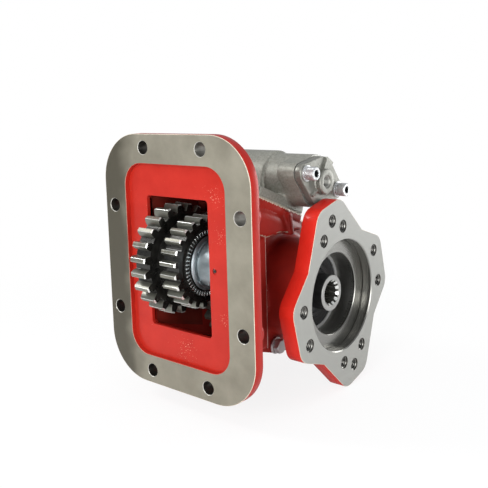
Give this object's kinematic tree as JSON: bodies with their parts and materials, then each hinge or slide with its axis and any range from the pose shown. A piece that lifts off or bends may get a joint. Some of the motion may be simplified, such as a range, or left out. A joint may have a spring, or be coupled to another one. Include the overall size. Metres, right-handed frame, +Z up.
{
  "type": "power take off unit",
  "caption": "Side-mount power take off with a gear cluster in a flanged window, a dog ring shifted by an air cylinder, and a lobed pump flange around a splined output shaft.",
  "frame": {"origin": "centre of the window in the mounting face, in the plane of that face", "axes": "-Y out of the mounting face towards the gearbox, +X along both shafts towards the pump flange, +Z up"},
  "size_m": [0.1748, 0.2257, 0.2409],
  "materials": {
    "red_paint": "gloss enamel over the casting",
    "gear_steel": "cut and hardened steel with a film of oil",
    "steel": "ground steel",
    "polished_steel": "polished steel",
    "zinc_plated": "bright zinc plate",
    "dark_steel": "blackened steel",
    "cast_alloy": "die cast aluminium alloy",
    "black_rubber": "moulded rubber",
    "gasket": "pressed fibre sheet",
    "cast_iron": "cast iron"
  },
  "bodies": {
    "housing_body": {"housing": "red_paint", "mounting_flange": "red_paint", "pump_flange": "red_paint", "flange_neck": "red_paint", "rear_cover": "red_paint", "idler_shaft": "polished_steel", "seal_circlip": "polished_steel", "drain_plug": "zinc_plated", "drain_washer": "zinc_plated", "flat_washer_1": "zinc_plated", "flat_washer_2": "zinc_plated", "lock_washer_1": "zinc_plated", "lock_washer_2": "zinc_plated", "cover_screw_1": "zinc_plated", "cover_screw_2": "zinc_plated", "thrust_washer_left": "steel", "thrust_washer_right": "steel", "left_bearing_outer_ring": "steel", "right_bearing_outer_ring": "steel", "return_spring": "steel", "idler_circlip": "dark_steel", "shaft_pin": "dark_steel", "rear_cover_bolt_1": "dark_steel", "rear_cover_bolt_2": "dark_steel", "rear_cover_bolt_3": "dark_steel", "rear_cover_bolt_4": "dark_steel", "foot_bolt_1": "dark_steel", "foot_bolt_2": "dark_steel", "foot_bolt_3": "dark_steel", "foot_bolt_4": "dark_steel", "oil_seal": "black_rubber", "foot_gasket": "gasket", "shift_cylinder": "cast_alloy", "end_cover": "cast_alloy"},
    "input_cluster": {"input_gear": "gear_steel", "needle_cage_left": "steel", "needle_cage_right": "steel"},
    "driven_wheel": {"driven_gear": "gear_steel", "needle_cage_driven": "steel"},
    "output_line": {"output_shaft": "gear_steel", "driven_thrust_washer": "steel", "left_bearing_inner_ring": "steel", "left_bearing_balls": "polished_steel", "right_bearing_inner_ring": "steel", "right_bearing_balls": "polished_steel"},
    "dog_ring": {"clutch_ring": "gear_steel"},
    "shifter": {"shift_rod": "polished_steel", "piston": "steel", "piston_seal": "black_rubber", "piston_nut": "steel", "shift_fork": "cast_iron", "fork_pin": "steel"}
  },
  "joints": [
    {"name": "driven_spin", "type": "hinge", "parent": "housing_body", "child": "driven_wheel", "pos_m": [0, 0.124, -0.04039], "axis": [1, 0, 0], "continuous": true},
    {"name": "input_spin", "type": "hinge", "parent": "housing_body", "child": "input_cluster", "pos_m": [0, 0.026, 0], "axis": [1, 0, 0], "continuous": true},
    {"name": "output_spin", "type": "hinge", "parent": "housing_body", "child": "output_line", "pos_m": [0, 0.124, -0.04039], "axis": [1, 0, 0], "continuous": true},
    {"name": "shift", "type": "slide", "parent": "housing_body", "child": "shifter", "axis": [-1, 0, 0], "range_m": [0, 0.0065], "deforming": ["return_spring"]},
    {"name": "ring_slide", "type": "slide", "parent": "output_line", "child": "dog_ring", "axis": [-1, 0, 0], "range_m": [0, 0.0065]}
  ],
  "couplings": [
    {"joint": "input_spin", "follows": "driven_spin", "ratio": -1.3043},
    {"joint": "ring_slide", "follows": "shift", "ratio": 1}
  ]
}
